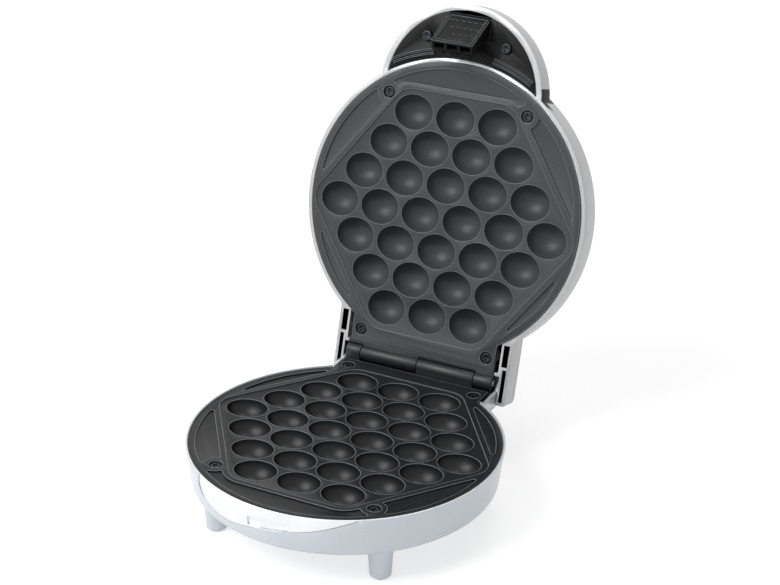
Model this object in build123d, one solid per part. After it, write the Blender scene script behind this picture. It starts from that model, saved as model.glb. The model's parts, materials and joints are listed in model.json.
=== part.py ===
from build123d import *
import math
import os

# Bubble waffle maker, standing with its lid open. Millimetres.
# X runs along the hinge, Y from the handle towards the hinge, Z up from the table.
# Every piece is built about the plate centre, the lid pieces as if closed. The lid is then
# swung open, and at the end the whole is moved so that it stands centred on the origin.

# Cell pattern of both cooking plates
cell_pitch = 31.0
row_pitch = 22.7
longest_row = 6
rows_each_side = 3
grid_y = 6.6
cell_half_length = 14.5
cell_half_width = 12.3
cell_centre_above_floor = 1.0
cell_wall = 1.6

# Cooking plates
plate_thickness = 4.0
lower_plate_inset = 1.6
upper_plate_inset = 3.2
plate_tail_half_width = 54.0
plate_tail_past_disc = 0.3
plate_gap_closed = 0.4
hexagon_depth = 0.9
hexagon_half_height = 84.0
hexagon_half_width = 99.8
hexagon_half_flat = 40.5
hexagon_corner = 15.0
hexagon_edge_soft = 0.5
ridge_width = 3.6
pocket_depth = 1.2
pocket_corner = 1.5
pocket_least_area = 30.0
plate_edge_land = 4.4
screw_land_radius = 8.0

# Plate screws: distance in from the bowl's rim or the tail's end, and angle from the handle direction
front_screw_inset = 14.4
lower_front_screw_angle = 39.3
upper_front_screw_angle = 35.2
rear_screw_x = 47.6
rear_screw_inset = 8.3
screw_radius = 1.9
screw_length = 8.0
screw_head_radius = 3.6
screw_head_height = 2.0
screw_head_soft = 0.8
screw_cross_depth = 1.2
screw_cross_half_length = 2.2
screw_cross_half_width = 0.5
screw_recess_radius = 4.6
screw_recess_depth = 2.4
screw_clearance = 0.1
boss_radius = 4.5
spacer_height = 3.0

# Lower housing
foot_height = 22.4
bowl_depth = 27.5
bowl_rim_radius = 102.8
bowl_flare = 3.5
bowl_corner = 4.0
wall = 2.2
rim_above_parting = 0.6
plate_rim_clearance = 0.3
tail_half_width = 58.6
tail_depth = 12.0
tail_top_below_parting = 1.5
tail_corner = 4.0
ear_height = 7.0
ear_ramp = 7.0

# Bottom cover, its screws, the legs and their pads
cover_clearance = 0.2
cover_screw_angles = (10.0, 55.0, 125.0, 170.0, 255.0, 285.0)
cover_screw_inset = 3.9
cover_boss_radius = 3.5
cover_boss_height = 7.0
web_thickness = 2.4
foot_inset = 8.2
front_foot_angle = 42.5
rear_foot_angle = 22.0
leg_screw_length = 10.0
leg_screw_shift = 3.8
foot_top_radius = 8.2
foot_bottom_radius = 7.0
foot_edge = 0.9
pad_radius = 5.5
pad_proud = 1.0
pad_sunk = 1.4

# Front panel: the crescent outline is seen along Y, as X and height above the parting plane
crescent_points = (
    (-57.5, 0.0),
    (-58.6, -11.5),
    (-47.0, -18.5),
    (-29.0, -19.4),
    (-4.0, -15.0),
    (18.0, -11.8),
    (34.0, -7.8),
    (46.0, -3.6),
    (55.0, 0.0),
)
crescent_headroom = 5.0
panel_recess = 0.3
panel_thickness = 2.0
panel_clearance = 0.25
catch_half_width = 14.5
catch_height = 6.5
catch_below_parting = 8.7
catch_depth = 1.4

# Hinge
lid_open_angle = 105.6
hinge_above_parting = 3.0
barrel_radius = 5.3
barrel_clearance = 0.4
pin_radius = 2.5
running_clearance = 0.05
knuckle_gap = 0.6
bracket_thickness = 2.2
barrel_left = -56.0
joint_left = -44.8
joint_middle = -1.6
joint_right = 41.2
barrel_right = 55.0
knuckle_web = 4.0
bracket_screw_xs = (-50.0, -20.0, 20.0, 50.0)
pan_screw_radius = 1.4
pan_screw_length = 5.0
pan_head_radius = 2.6
pan_head_height = 1.4

# Lid housing
lid_inset = 0.4
lid_draft = 0.6
lid_wall_depth = 23.5
lid_dome = 6.0
lid_edge_round = 4.0
lid_rim_gap = 0.6
lid_ring_wall = 2.2
lobe_inset = 23.1
lobe_radius = 59.0
lobe_depth = 18.5
lobe_wall = 3.7
lobe_edge_round = 4.0
arm_inner_x = 57.6
arm_inner_wall = 1.5
arm_outer_x = 65.5
arm_outer_wall = 2.2
arm_depth = 16.8
arm_past_hinge = 14.0
arm_pocket_before_tail_end = 19.5
arm_bridge_before_tail_end = 4.5
arm_bridge = 2.0
arm_corner = 3.0

# Handle panel and latch
handle_panel_sunk = 0.4
handle_panel_thickness = 2.0
handle_panel_clearance = 0.3
handle_panel_tip = 1.2
handle_screw_x = 29.0
handle_screw_past_lobe = 34.5
handle_screw_length = 10.0
rib_height = 2.5
rib_width = 1.2
rib_offsets = (3.7, 6.2)
rib_angles = (12.0, 28.5)
latch_width = 30.0
latch_root_past_lobe = 51.6
latch_root_above_parting = 1.1
latch_lean = 35.3
latch_length = 30.6
latch_thickness = 8.0
latch_pivot_behind_root = 5.4
latch_pivot_above_parting = 6.8
latch_knuckle = 4.0
latch_pin_radius = 1.5
latch_slot_gap = 0.7
latch_ear = 3.0
latch_frame = 2.0
latch_face_depth = 0.8
grip_rows = (6, 5, 5)
grip_dot_radius = 1.0
grip_pitch = 3.6
grip_row_pitch = 4.2
tooth_reach = 3.0
tooth_width = 6.0
tooth_pitch = 10.0
tooth_thickness = 2.4
tooth_above_tip = 1.2
end_pocket_depth = 5.0
end_rib = 1.8

# Heating, from each plate's back outwards
element_radius = 3.2
element_ring = 62.0
element_bend = 16.0
element_end_x = 30.0
element_end_y = 72.0
contact_gap = 0.1
terminal_pin_radius = 1.5
terminal_pin_length = 6.0
saddle_height = 1.5
saddle_half = 5.0
saddle_angles = (30, 150, 210, 270, 330)
shield_thickness = 0.8
shield_radius = 64.5
shield_post_x = 46.0
shield_post_ys = (-24.0, 38.0)
shield_post_radius = 3.0
thermostat_radius = 7.5
thermostat_height = 9.0
thermostat_inset = 15.8
tab_x = 5.0
tab_width = 4.0
tab_height = 3.0
fuse_radius = 2.0
fuse_length = 12.0
fuse_x = 24.0
fuse_inset = 16.7
wire_radius = 1.2
wire_ring = 80.0
lead_start = 7.0
lead_sweep = 146.0

# Vent slots in the bowl's floor
vent_count = 7
vent_pitch = 9.0
vent_width = 3.0
vent_length = 30.0

# Wiring inlet at the back, terminal block and cord clamp on the floor
inlet_above_table = 31.0
inlet_pad_half_width = 11.0
inlet_pad_inset = 0.4
inlet_pad_depth = 5.8
bushing_neck_radius = 4.7
bushing_flange_radius = 6.0
bushing_flange = 1.8
cord_bore_radius = 3.1
block_size = (18.0, 9.0, 10.0)
block_beside_clamp = 1.5
block_past_clamp = 2.0
block_ways = 2
block_screw_radius = 2.0
block_entry_half = 1.8
block_entry_low = 2.0
block_entry_high = 5.0
clamp_half_width = 8.0
clamp_from_bushing = 1.8
clamp_depth = 7.0
clamp_arch = 5.4

# Indicator lamps in the lid's top
lamp_x = 12.0
lamp_inset = 16.4
lens_radius = 3.5
lens_clearance = 0.1
lens_height = 4.0
lens_proud = 1.2
lamp_radius = 2.6
lamp_length = 9.0

# Places worked out from the sizes above
bowl_bottom_radius = bowl_rim_radius - bowl_flare
lower_plate_radius = bowl_rim_radius - lower_plate_inset
lid_radius = bowl_rim_radius - lid_inset
upper_plate_radius = lid_radius - upper_plate_inset
plate_tail_end = lower_plate_radius + plate_tail_past_disc
front_screw_distance = bowl_rim_radius - front_screw_inset
rear_screw_y = plate_tail_end - rear_screw_inset
cover_radius = bowl_bottom_radius - bowl_corner - cover_clearance
foot_distance = cover_radius - foot_inset
lobe_y = -(lid_radius - lobe_inset)
handle_screw_y = lobe_y - handle_screw_past_lobe
latch_root_y = lobe_y - latch_root_past_lobe
latch_pivot_y = latch_root_y + latch_pivot_behind_root
thermostat_y = -(lower_plate_radius - thermostat_inset)
fuse_y = -(upper_plate_radius - fuse_inset)
lamp_y = -(lid_radius - lamp_inset)
inlet_pad_out = bowl_rim_radius - inlet_pad_inset
inlet_pad_in = inlet_pad_out - inlet_pad_depth
clamp_y = inlet_pad_in - bushing_flange - clamp_from_bushing - clamp_depth
arm_bridge_y = plate_tail_end - arm_bridge_before_tail_end
arm_pocket_start = plate_tail_end - arm_pocket_before_tail_end
parting = foot_height + bowl_depth - rim_above_parting
lower_land = parting - plate_gap_closed / 2
upper_land = parting + plate_gap_closed / 2
bowl_rim = foot_height + bowl_depth
bowl_floor = foot_height + wall
cup_depth = hexagon_depth + cell_half_width - cell_centre_above_floor + cell_wall
shield_depth = cup_depth + contact_gap + 2 * element_radius + saddle_height + shield_thickness
bracket_start = plate_tail_end + plate_rim_clearance
bracket_end = bracket_start + bracket_thickness
hinge_y = bracket_end + barrel_clearance + barrel_radius
hinge_z = parting + hinge_above_parting
bracket_screw_y = hinge_y - barrel_radius + 1.2
tail_end = hinge_y + barrel_radius + barrel_clearance + wall
tail_bottom = parting - tail_depth
tail_top = parting - tail_top_below_parting
lid_rim = bowl_rim + lid_rim_gap
lid_shoulder = lid_rim + lid_wall_depth
lid_top = lid_shoulder + lid_dome
lobe_top = lid_rim + lobe_depth
arm_top = lid_rim + arm_depth
arm_end = hinge_y + arm_past_hinge
partition_radius = upper_plate_radius + plate_rim_clearance + lid_ring_wall
panel_face = lid_rim + handle_panel_sunk
panel_back = panel_face + handle_panel_thickness
pivot_z = parting + latch_pivot_above_parting
hinge_axis = Axis((0, hinge_y, hinge_z), (1, 0, 0))
latch_axis = Axis((0, latch_pivot_y, pivot_z), (1, 0, 0))


def box(x0, x1, y0, y1, z0, z1):
    """A box between two corners."""
    centre = Pos((x0 + x1) / 2, (y0 + y1) / 2, (z0 + z1) / 2)
    return centre * Box(x1 - x0, y1 - y0, z1 - z0)


def post(radius, bottom, top, x=0.0, y=0.0):
    """An upright cylinder between two heights."""
    return Pos(x, y, (bottom + top) / 2) * Cylinder(radius, top - bottom)


def rod(radius, x0, x1, y, z):
    """A cylinder along X."""
    return Pos((x0 + x1) / 2, y, z) * Rotation(0, 90, 0) * Cylinder(radius, x1 - x0)


def mirrored(shapes):
    """The shapes and their mirror images across the middle plane."""
    return list(shapes) + [shape.mirror(Plane.YZ) for shape in shapes]


def flat_ring(outer, inner, bottom, top):
    return post(outer, bottom, top) - post(inner, bottom - 1, top + 1)


def cell_places():
    """Centres of the thirty cells, row by row."""
    places = []
    for row in range(-rows_each_side, rows_each_side + 1):
        count = longest_row - abs(row)
        for i in range(count):
            places.append(((i - (count - 1) / 2) * cell_pitch, grid_y + row * row_pitch))
    return places


def screw_places(front_angle):
    """The four plate screws: two beside the handle, two on the tail."""
    x = front_screw_distance * math.sin(math.radians(front_angle))
    y = -front_screw_distance * math.cos(math.radians(front_angle))
    return [(-x, y), (x, y), (-rear_screw_x, rear_screw_y), (rear_screw_x, rear_screw_y)]


def egg(half_length, half_width):
    """An ellipsoid of revolution about X."""
    half = Ellipse(half_length, half_width)
    half -= Pos(0, -half_width) * Rectangle(4 * half_length, 2 * half_width)
    return revolve(half, Axis.X)


def hexagon(grow=0.0):
    """Outline of the cell field, its corners rounded, and grown outwards by a distance."""
    right = (hexagon_half_width, 0)
    top = (hexagon_half_flat, hexagon_half_height)
    points = [right, top, (-top[0], top[1]), (-right[0], 0), (-top[0], -top[1]), (top[0], -top[1])]
    face = make_face(Polyline(*points, close=True))
    face = fillet(face.vertices(), hexagon_corner)
    if grow:
        face = offset(face, grow)
    return Pos(0, grid_y) * face


def plate_outline(radius):
    """The round plate with its straight tail."""
    tail = Pos(0, plate_tail_end / 2) * Rectangle(2 * plate_tail_half_width, plate_tail_end)
    return Circle(radius) + tail


def pockets(radius, front_angle):
    """The shallow overflow pockets between the cell field and the plate's edge.

    Each is drawn smaller by its corner radius and then grown by it, which rounds its corners.
    """
    field = Circle(radius - plate_edge_land - pocket_corner) - hexagon(ridge_width + pocket_corner)
    field -= Pos(0, grid_y + hexagon_half_height + radius / 2) * Rectangle(2 * plate_tail_half_width, radius)
    for x, y in screw_places(front_angle)[:2]:
        field -= Pos(x, y) * Circle(screw_land_radius + pocket_corner)
    faces = [face for face in field.faces() if face.area > pocket_least_area]
    return [extrude(offset(face, pocket_corner), pocket_depth, dir=(0, 0, -1)) for face in faces]


def cooking_plate(radius, front_angle):
    """One casting with its land at height 0, facing up."""
    plate = extrude(plate_outline(radius), plate_thickness, dir=(0, 0, -1))
    plate -= extrude(hexagon(), hexagon_depth, dir=(0, 0, -1))
    for pocket in pockets(radius, front_angle):
        plate -= pocket
    egg_height = cell_centre_above_floor - hexagon_depth
    outer = egg(cell_half_length + cell_wall, cell_half_width + cell_wall)
    outer = Pos(0, 0, egg_height) * outer
    keep = 2 * cell_half_length
    cup = outer & box(-keep, keep, -keep, keep, -2 * cup_depth, -plate_thickness + cell_wall / 2)
    hollow = Pos(0, 0, egg_height) * egg(cell_half_length, cell_half_width)
    places = cell_places()
    plate = plate.fuse(*[Pos(x, y) * cup for x, y in places])
    plate = plate.cut(*[Pos(x, y) * hollow for x, y in places])
    for x, y in screw_places(front_angle):
        plate -= post(screw_radius + screw_clearance, -plate_thickness - 1, 1, x, y)
        plate -= post(screw_recess_radius, -screw_recess_depth, 1, x, y)
    return plate


def turned_over(shape, height):
    """A piece built facing up at height 0, turned to face down at a height."""
    return Pos(0, 0, height) * Rotation(0, 180, 0) * shape


def cross_screw(length):
    """A cross-head screw with the top of its head at height 0."""
    head = post(screw_head_radius, -screw_head_height, 0)
    head = fillet(head.edges().filter_by(GeomType.CIRCLE).sort_by(Axis.Z)[-1], screw_head_soft)
    slot = box(-screw_cross_half_length, screw_cross_half_length,
               -screw_cross_half_width, screw_cross_half_width, -screw_cross_depth, 1)
    head -= slot
    head -= Rotation(0, 0, 90) * slot
    return head + post(screw_radius, -screw_head_height - length, -screw_head_height)


def plate_screws(front_angle):
    top = -screw_recess_depth + screw_head_height
    return [Pos(x, y, top) * cross_screw(screw_length) for x, y in screw_places(front_angle)]


def plate_spacers(front_angle):
    """Ceramic spacers under the plate, round each screw."""
    top = -plate_thickness
    ring = post(boss_radius, top - spacer_height, top)
    ring -= post(screw_radius + screw_clearance, top - spacer_height - 1, top + 1)
    return [Pos(x, y) * ring for x, y in screw_places(front_angle)]


def heating_element():
    """Tube on the backs of the cells, with a terminal pin at each end."""
    height = -cup_depth - contact_gap - element_radius
    corners = 6
    ring = []
    for i in range(corners):
        angle = math.radians(90 + 180 / corners * (2 * i + 1))
        ring.append((element_ring * math.cos(angle), grid_y + element_ring * math.sin(angle)))
    points = [(-element_end_x, element_end_y)] + ring + [(element_end_x, element_end_y)]
    path = Pos(0, 0, height) * FilletPolyline(*points, radius=element_bend)
    start = path @ 0
    section = Plane(start, z_dir=path % 0) * Circle(element_radius)
    tube = sweep(section, path)
    pins = []
    for x in (-element_end_x, element_end_x):
        tip = path @ 0 if x < 0 else path @ 1
        way = -(path % 0) if x < 0 else path % 1
        pins.append(extrude(Plane(tip, z_dir=way) * Circle(terminal_pin_radius), terminal_pin_length))
    return tube + pins[0] + pins[1]


def heat_shield():
    """Steel dish behind the heating tube, with pressed saddles that hold the tube."""
    top = -cup_depth - contact_gap - 2 * element_radius - saddle_height
    dish = Pos(0, grid_y) * post(shield_radius, top - shield_thickness, top)
    distance = element_ring * math.cos(math.radians(30))
    for angle in saddle_angles:
        x = distance * math.cos(math.radians(angle))
        y = grid_y + distance * math.sin(math.radians(angle))
        dish += box(x - saddle_half, x + saddle_half, y - saddle_half, y + saddle_half,
                    top, top + saddle_height)
    return dish


def thermostat():
    top = -plate_thickness
    body = post(thermostat_radius, top - thermostat_height, top, 0, thermostat_y)
    low = top - thermostat_height
    half = tab_width / 2
    for x in (-tab_x, tab_x):
        body += box(x - contact_gap * 4, x + contact_gap * 4, thermostat_y - half, thermostat_y + half,
                    low - tab_height, low)
    return body


def thermal_fuse():
    return rod(fuse_radius, fuse_x - fuse_length / 2, fuse_x + fuse_length / 2, fuse_y,
               -plate_thickness - fuse_radius)


def leads(height):
    """Two insulated leads round the heat shield, from the front to the element's ends."""
    section = Plane(origin=(wire_ring, 0, height), z_dir=(0, -1, 0)) * Circle(wire_radius)
    lead = revolve(section, Axis.Z, lead_sweep)
    first = -90 + lead_start
    return [Rotation(0, 0, first) * lead, Rotation(0, 0, 180 - first - lead_sweep) * lead]


def bowl_form(inset, bottom, top):
    """The round bowl's outer form, or its cavity when inset by the wall."""
    slope = (bowl_rim_radius - bowl_bottom_radius) / bowl_depth
    low = bowl_bottom_radius + slope * (bottom - foot_height) - inset
    high = bowl_bottom_radius + slope * (top - foot_height) - inset
    profile = make_face(Polyline((0, bottom), (low, bottom), (high, top), (0, top), close=True))
    form = revolve(Plane.XZ * profile, Axis.Z)
    edge = form.edges().filter_by(GeomType.CIRCLE).sort_by(Axis.Z)[0]
    return fillet(edge, bowl_corner - inset / 2)


def crescent_face(inset=0.0):
    """The crescent outline with its smooth lower edge, closed above the bowl's rim."""
    points = [(x - math.copysign(inset, x), height + inset) for x, height in crescent_points]
    first = points[0]
    last = points[-1]
    low = Spline(*points)
    up = Line(last, (last[0], crescent_headroom))
    across = Line((last[0], crescent_headroom), (first[0], crescent_headroom))
    down = Line((first[0], crescent_headroom), first)
    return make_face(Wire([low.edge(), up.edge(), across.edge(), down.edge()]))


def liner_face():
    """The crescent outline with a straight-sided lower edge, grown by the recess's wall."""
    first = crescent_points[0]
    last = crescent_points[-1]
    corners = list(crescent_points) + [(last[0], crescent_headroom), (first[0], crescent_headroom)]
    return offset(make_face(Polyline(*corners, close=True)), wall)


def front_prism(face, top):
    """An outline run back through the bowl's front, up to a height."""
    upright = Plane(origin=(0, 0, parting), x_dir=(1, 0, 0), z_dir=(0, -1, 0))
    prism = extrude(upright * face, 2 * bowl_rim_radius)
    return prism & box(-bowl_rim_radius, bowl_rim_radius, -2 * bowl_rim_radius, 0, foot_height, top)


def around(distance, angle):
    """A place at a distance from the plate centre, its angle measured from the X axis."""
    return (distance * math.cos(math.radians(angle)), distance * math.sin(math.radians(angle)))


def foot_places():
    front = around(foot_distance, front_foot_angle - 90)
    rear = around(foot_distance, 90 - rear_foot_angle)
    return [(-front[0], front[1]), front, (-rear[0], rear[1]), rear]


def leg_screw_places():
    """Each leg's screw, moved round the circle from the leg's middle towards the machine's side."""
    places = []
    for x, y in foot_places():
        angle = math.atan2(abs(y), abs(x)) - leg_screw_shift / foot_distance
        places.append((math.copysign(foot_distance * math.cos(angle), x),
                       math.copysign(foot_distance * math.sin(angle), y)))
    return places


def cover_screw_places():
    return [around(cover_radius - cover_screw_inset, angle) for angle in cover_screw_angles]


def legs():
    """Tapered legs under the bottom cover, each with a seat for its pad and a bore for its screw."""
    height = foot_height - pad_proud
    cone = Cone(foot_bottom_radius, foot_top_radius, height)
    cone = fillet(cone.edges().filter_by(GeomType.CIRCLE).sort_by(Axis.Z)[0], foot_edge)
    cone = Pos(0, 0, pad_proud + height / 2) * cone
    cone -= post(pad_radius + contact_gap, 0, pad_proud + pad_sunk)
    low = bowl_floor - leg_screw_length - contact_gap
    pieces = []
    for foot, screw in zip(foot_places(), leg_screw_places()):
        bore = post(screw_radius + running_clearance, low, bowl_floor, *screw)
        pieces.append(Pos(*foot) * cone - bore)
    return pieces


def leg_screws():
    """Screws down through the cover into the legs, heads on the cover's inner face."""
    screw = cross_screw(leg_screw_length)
    return [Pos(x, y, bowl_floor + screw_head_height) * screw for x, y in leg_screw_places()]


def bottom_cover():
    """Round cover in the bowl's bottom: vents, posts for the heat shield, and its screw holes."""
    body = post(cover_radius, foot_height, bowl_floor)
    for x, y in vent_places():
        body -= box(x - vent_width / 2, x + vent_width / 2, y - vent_length / 2, y + vent_length / 2,
                    foot_height - 1, bowl_floor + 1)
    for x, y in shield_post_places():
        body += post(shield_post_radius, bowl_floor - wall / 2, lower_land - shield_depth, x, y)
    for x, y in leg_screw_places():
        body -= post(screw_radius + screw_clearance, foot_height - 1, bowl_floor + 1, x, y)
    for x, y in cover_screw_places():
        body -= post(pan_screw_radius + screw_clearance, foot_height - 1, bowl_floor + 1, x, y)
    return body


def cover_screws():
    return [Pos(x, y) * pan_screw(foot_height) for x, y in cover_screw_places()]


def wall_boss(radius, top, place):
    """A boss standing on the bottom cover, held by a web to the bowl's wall."""
    x, y = place
    turn = math.degrees(math.atan2(y, x))
    half = web_thickness / 2
    web = Rotation(0, 0, turn) * box(math.hypot(x, y), bowl_rim_radius, -half, half, bowl_floor, top)
    return post(radius, bowl_floor, top, x, y) + (web & bowl_form(wall / 2, foot_height, bowl_rim))


def lower_housing():
    """Bowl with tail, ears, plate and cover bosses, panel recess and inlet pad."""
    y_join = bowl_rim_radius / 2
    whole_bowl = bowl_form(0, foot_height, bowl_rim)
    tail = box(-tail_half_width, tail_half_width, y_join, tail_end, tail_bottom, tail_top)
    rear = tail.edges().filter_by(Axis.Z).group_by(Axis.Y)[-1]
    body = whole_bowl + fillet(rear, tail_corner) + ears()
    body -= bowl_form(wall, bowl_floor, bowl_rim + 1)
    body -= post(cover_radius + cover_clearance / 2, foot_height - 1, bowl_floor + 1)
    boss_top = lower_land - plate_thickness - spacer_height
    for place in screw_places(lower_front_screw_angle)[:2]:
        body += wall_boss(boss_radius, boss_top, place)
    for place in cover_screw_places():
        body += wall_boss(cover_boss_radius, bowl_floor + cover_boss_height, place)
    rabbet = lower_land - plate_thickness - plate_rim_clearance
    seat_inset = panel_recess + panel_thickness + contact_gap
    liner = front_prism(liner_face(), rabbet) & whole_bowl
    body += liner - bowl_form(seat_inset + wall, foot_height - 1, bowl_rim + 1)
    recess = front_prism(crescent_face(), bowl_rim + crescent_headroom)
    body -= recess - bowl_form(seat_inset, foot_height, bowl_rim)
    body -= post(lower_plate_radius + plate_rim_clearance, rabbet, bowl_rim + 1)
    inner = tail_half_width - wall
    body -= box(-inner, inner, y_join, tail_end - wall, tail_bottom + wall, bowl_rim + 1)
    body += box(-inlet_pad_half_width, inlet_pad_half_width, inlet_pad_in, inlet_pad_out,
                foot_height, tail_bottom + wall)
    inlet = Pos(0, inlet_pad_in, inlet_above_table) * Rotation(90, 0, 0)
    body -= inlet * Cylinder(bushing_neck_radius + contact_gap, 4 * (inlet_pad_out - inlet_pad_in))
    body -= inlet * post(bushing_flange_radius + contact_gap, 0, 2 * bushing_flange)
    screw_tip = lower_land - screw_recess_depth - screw_length
    for x, y in screw_places(lower_front_screw_angle)[2:]:
        body += post(boss_radius, tail_bottom + wall / 2, boss_top, x, y)
    for x, y in screw_places(lower_front_screw_angle):
        body -= post(screw_radius + running_clearance, screw_tip - screw_clearance, boss_top + 1, x, y)
    pan_bore = pan_screw_radius + running_clearance
    for place in cover_screw_places():
        body -= post(pan_bore, bowl_floor - 1, bowl_floor + pan_screw_length, *place)
    for x in bracket_screw_xs:
        body -= post(pan_bore, tail_bottom - 1, tail_top, x, bracket_screw_y)
    return body


def ears():
    """Raised back wall of the tail and the two ramps that lead up to it beside the barrel."""
    low = tail_top - wall
    high = tail_top + ear_height
    profile = make_face(Polyline(
        (tail_end, low), (tail_end, high), (tail_end - wall, high),
        (tail_end - wall - ear_ramp, tail_top), (tail_end - wall - ear_ramp, low), close=True))
    side = extrude(Plane.YZ * profile, wall)
    left = Pos(-tail_half_width, 0, 0) * side
    right = Pos(tail_half_width - wall, 0, 0) * side
    back = box(-tail_half_width, tail_half_width, tail_end - wall, tail_end, low, high)
    return back + left + right


def vent_places():
    return [(vent_pitch * (i - (vent_count - 1) / 2), grid_y) for i in range(vent_count)]


def shield_post_places():
    return [(x, y) for x in (-shield_post_x, shield_post_x) for y in shield_post_ys]


def front_panel():
    """Crescent panel flush in the bowl's front, with a pocket whose upper edge holds the latch's teeth."""
    prism = front_prism(crescent_face(panel_clearance), bowl_rim)
    outer = bowl_form(panel_recess, foot_height - 1, bowl_rim + 1)
    panel = (outer & prism) - bowl_form(panel_recess + panel_thickness, foot_height - 2, bowl_rim + 2)
    rabbet = lower_land - plate_thickness - plate_rim_clearance
    panel -= post(lower_plate_radius + plate_rim_clearance, rabbet, bowl_rim + 1)
    top = parting - catch_below_parting
    pocket = box(-catch_half_width, catch_half_width, -2 * bowl_rim_radius, 0, top - catch_height, top)
    return panel - (pocket - bowl_form(panel_recess + catch_depth, foot_height - 2, bowl_rim + 2))


def knuckle(x0, x1):
    """One barrel knuckle, bored for the pin, its ends set back by half the gap."""
    half_gap = knuckle_gap / 2
    body = rod(barrel_radius, x0 + half_gap, x1 - half_gap, hinge_y, hinge_z)
    return body - rod(pin_radius + running_clearance, x0 - 1, x1 + 1, hinge_y, hinge_z)


def base_bracket():
    """Plate on the tail's floor with the outer left and the inner right knuckles."""
    top = hinge_z - barrel_radius - barrel_clearance
    floor = tail_bottom + wall
    y0 = bracket_start
    y1 = hinge_y + barrel_radius
    body = box(barrel_left, barrel_right, y0, y1, top - bracket_thickness, top)
    for x in (barrel_left, barrel_right):
        x0 = min(x, x - math.copysign(bracket_thickness, x))
        body += box(x0, x0 + bracket_thickness, y0, y1, floor, top)
    half_gap = knuckle_gap / 2
    for x0, x1 in ((barrel_left, joint_left), (joint_middle, joint_right)):
        web = box(x0 + half_gap, x1 - half_gap, hinge_y - barrel_radius, hinge_y + barrel_radius,
                  top - 1, hinge_z)
        web -= rod(pin_radius + running_clearance, x0 - 1, x1 + 1, hinge_y, hinge_z)
        body += web
        body += knuckle(x0, x1)
    for x in bracket_screw_xs:
        body += post(pan_head_radius, floor, top, x, bracket_screw_y)
        body -= post(pan_screw_radius + running_clearance, floor - 1, floor + pan_screw_length,
                     x, bracket_screw_y)
    return body


def lid_bracket():
    """Upright strip behind the upper plate's tail with the inner left and outer right knuckles."""
    low = lid_rim
    high = arm_top - wall
    body = box(barrel_left, barrel_right, bracket_start, bracket_end, low, high)
    half_gap = knuckle_gap / 2
    for x0, x1 in ((joint_left, joint_middle), (joint_right, barrel_right)):
        web = box(x0 + half_gap, x1 - half_gap, bracket_start, hinge_y,
                  hinge_z - knuckle_web / 2, hinge_z + knuckle_web / 2)
        web -= rod(pin_radius + running_clearance, x0 - 1, x1 + 1, hinge_y, hinge_z)
        body += web
        body += knuckle(x0, x1)
    return body


def hinge_pin():
    return rod(pin_radius, barrel_left, barrel_right, hinge_y, hinge_z)


def bracket_screws():
    """Short screws up through the tail's floor into the base bracket."""
    return [Pos(x, bracket_screw_y) * pan_screw(tail_bottom) for x in bracket_screw_xs]


def pan_screw(floor):
    """A short screw up through a wall, its head below the wall's lower face."""
    screw = post(pan_head_radius, floor - pan_head_height, floor)
    return screw + post(pan_screw_radius, floor, floor + wall + pan_screw_length)


def foot_pads():
    pad = post(pad_radius, 0, pad_proud + pad_sunk)
    pad = fillet(pad.edges().filter_by(GeomType.CIRCLE).sort_by(Axis.Z)[0], pad_proud / 2)
    return [Pos(x, y) * pad for x, y in foot_places()]


def cord_bushing():
    """Gland through the flat pad in the rear wall."""
    flange = Cylinder(bushing_flange_radius, bushing_flange)
    length = inlet_pad_out - inlet_pad_in
    body = Cylinder(bushing_neck_radius, length)
    body += Pos(0, 0, (length + bushing_flange) / 2) * flange
    body += Pos(0, 0, -(length + bushing_flange) / 2) * flange
    body -= Cylinder(cord_bore_radius, 2 * length)
    middle = (inlet_pad_out + inlet_pad_in) / 2
    return Pos(0, middle, inlet_above_table) * Rotation(-90, 0, 0) * body


def terminal_block():
    """Block on the floor with a clamping screw hole and a wire entry for each way."""
    width, depth, height = block_size
    x0 = clamp_half_width + block_beside_clamp
    y0 = clamp_y + block_past_clamp - depth
    body = box(x0, x0 + width, y0, y0 + depth, bowl_floor, bowl_floor + height)
    for i in range(block_ways):
        x = x0 + width * (i + 0.5) / block_ways
        body -= post(block_screw_radius, bowl_floor + height / 2, bowl_floor + height + 1, x, y0 + depth / 2)
        body -= box(x - block_entry_half, x + block_entry_half, y0 - 1, y0 + depth + 1,
                    bowl_floor + block_entry_low, bowl_floor + block_entry_high)
    return body


def cord_clamp():
    """Saddle on the floor that holds the incoming cord in line with the bushing."""
    foot = box(-clamp_half_width, clamp_half_width, clamp_y, clamp_y + clamp_depth,
               bowl_floor, inlet_above_table)
    turned = Pos(0, clamp_y + clamp_depth / 2, inlet_above_table) * Rotation(90, 0, 0)
    arch = turned * Cylinder(clamp_arch, clamp_depth)
    return foot + arch - turned * Cylinder(cord_bore_radius, 2 * clamp_depth)


def dome_height(distance, inset):
    """Height of the lid's dome at a distance from its middle."""
    radius = lid_radius - lid_draft
    ball = (radius ** 2 + lid_dome ** 2) / (2 * lid_dome)
    return lid_top - inset - ball + math.sqrt(ball ** 2 - distance ** 2)


def lid_disc(inset_side, inset_top, bottom):
    """The lid's round part: upright wall and shallow dome, or its cavity when inset."""
    outer = lid_radius - inset_side
    upper = outer - lid_draft
    shoulder = dome_height(upper, inset_top)
    wall_line = Polyline((0, bottom), (outer, bottom), (upper, shoulder))
    halfway = (upper / 2, dome_height(upper / 2, inset_top))
    dome = ThreePointArc((upper, shoulder), halfway, (0, lid_top - inset_top))
    close = Line((0, lid_top - inset_top), (0, bottom))
    face = make_face(Wire([*wall_line.edges(), dome.edge(), close.edge()]))
    form = revolve(Plane.XZ * face, Axis.Z)
    edge = form.edges().filter_by(GeomType.CIRCLE).sort_by(Axis.Z)[1]
    return fillet(edge, lid_edge_round - inset_top / 2)


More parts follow.
